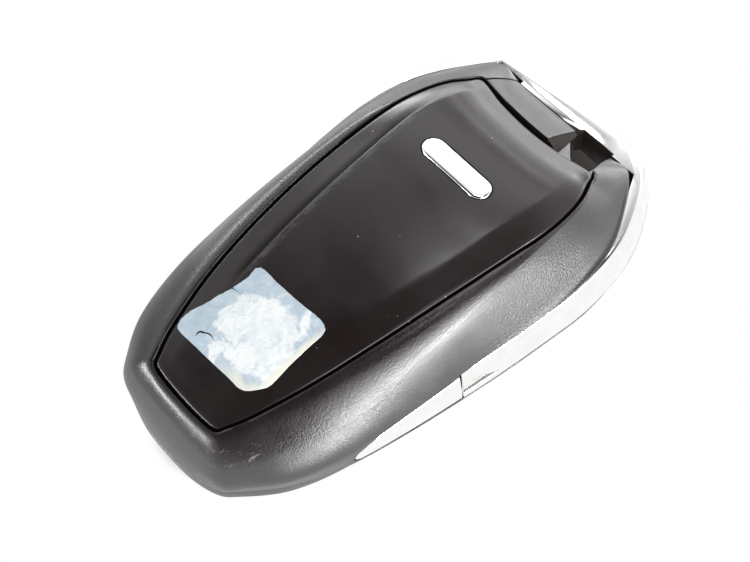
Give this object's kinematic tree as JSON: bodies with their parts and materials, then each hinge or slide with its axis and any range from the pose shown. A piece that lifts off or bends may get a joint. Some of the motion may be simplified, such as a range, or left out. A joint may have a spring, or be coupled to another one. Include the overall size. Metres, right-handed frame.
{
  "type": "car key fob",
  "caption": "Keyless-entry car key fob with a pull-out emergency key, a sprung release slider, press buttons and a lift-off battery cover.",
  "frame": {"origin": "middle of the outline, on the front face that the fob lies on", "axes": "+Z out of the rear face, +Y from the narrow end to the key end, +X to the side away from the release slider"},
  "size_m": [0.0432, 0.0754, 0.017],
  "materials": {
    "housing_plastic": "satin black with a fine spark-eroded grain",
    "cover_plastic": "smooth satin black, lightly scratched",
    "chrome": "bright chrome",
    "blade_steel": "brushed nickel-plated steel",
    "chassis_plastic": "moulded dark grey",
    "cell_steel": "stainless steel can",
    "contact_brass": "plated spring sheet",
    "board_green": "green solder mask",
    "chip_black": "moulded package",
    "ferrite": "potted coil",
    "switch_plastic": "pale moulded switch",
    "mat_silicone": "grey silicone",
    "button_plastic": "satin black"
  },
  "bodies": {
    "housing": {"rear_housing": "housing_plastic", "front_housing": "housing_plastic", "side_trim_left": "chrome", "side_trim_right": "chrome", "slider_spring": "blade_steel", "inner_chassis": "chassis_plastic", "coin_cell": "cell_steel", "contact_positive": "contact_brass", "contact_negative": "contact_brass", "circuit_board": "board_green", "controller_chip": "chip_black", "lf_antenna": "ferrite", "rf_crystal": "cell_steel", "switch_lock": "switch_plastic", "switch_boot": "switch_plastic", "switch_unlock": "switch_plastic", "button_mat": "mat_silicone"},
    "emergency_key": {"key_bow": "chrome", "key_blade": "blade_steel", "blade_pin": "blade_steel"},
    "release": {"release_slider": "cover_plastic"},
    "cover": {"rear_cover": "cover_plastic", "badge_inlay": "chrome"},
    "lock_press_body": {"lock_button": "button_plastic"},
    "boot_press_body": {"boot_button": "button_plastic"},
    "unlock_press_body": {"unlock_button": "button_plastic"}
  },
  "joints": [
    {"name": "key_slide", "type": "slide", "parent": "housing", "child": "emergency_key", "axis": [0, 1, 0], "range_m": [0, 0.05]},
    {"name": "release_slide", "type": "slide", "parent": "housing", "child": "release", "axis": [1, 0, 0], "range_m": [0, 0.004], "stiffness_N_per_m": 150, "springref_m": -0.004, "deforming": ["slider_spring"]},
    {"name": "cover_lift", "type": "slide", "parent": "housing", "child": "cover", "axis": [0, 0, 1], "range_m": [0, 0.015]},
    {"name": "lock_press", "type": "slide", "parent": "housing", "child": "lock_press_body", "axis": [0, 0, 1], "range_m": [0, 0.0004], "stiffness_N_per_m": 2500, "springref_m": -0.0002},
    {"name": "boot_press", "type": "slide", "parent": "housing", "child": "boot_press_body", "axis": [0, 0, 1], "range_m": [0, 0.0004], "stiffness_N_per_m": 2500, "springref_m": -0.0002},
    {"name": "unlock_press", "type": "slide", "parent": "housing", "child": "unlock_press_body", "axis": [0, 0, 1], "range_m": [0, 0.0004], "stiffness_N_per_m": 2500, "springref_m": -0.0002}
  ]
}
